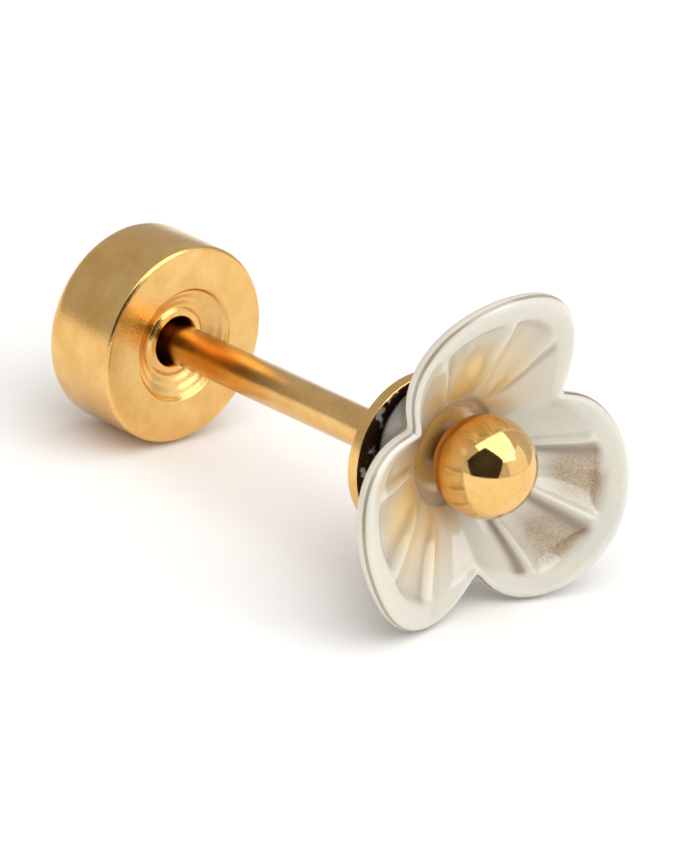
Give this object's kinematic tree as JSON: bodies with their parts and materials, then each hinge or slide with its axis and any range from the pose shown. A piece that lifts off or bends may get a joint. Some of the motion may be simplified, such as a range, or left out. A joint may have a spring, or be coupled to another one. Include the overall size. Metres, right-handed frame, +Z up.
{
  "type": "screw back stud earring",
  "caption": "Stud earring with a fluted shell flower, a polished ball at its centre, a round pad and threaded post, and a turned screw back.",
  "frame": {"origin": "centre of the bounding box's underside, on the floor the earring lies on", "axes": "+Z up, +X along the earring's length towards the flower, lifted by about three degrees along the post, +Y to the side"},
  "size_m": [0.0146, 0.0086, 0.0082],
  "materials": {
    "gold": "polished",
    "shell": "gloss"
  },
  "bodies": {
    "stud": {"post": "gold", "flower": "shell", "centre_ball": "gold"},
    "back": {"screw_back": "gold"}
  },
  "joints": [
    {"name": "back_slide", "type": "slide", "parent": "stud", "child": "back", "axis": [-0.9982, 0, -0.0598], "range_m": [0, 0.005]}
  ]
}
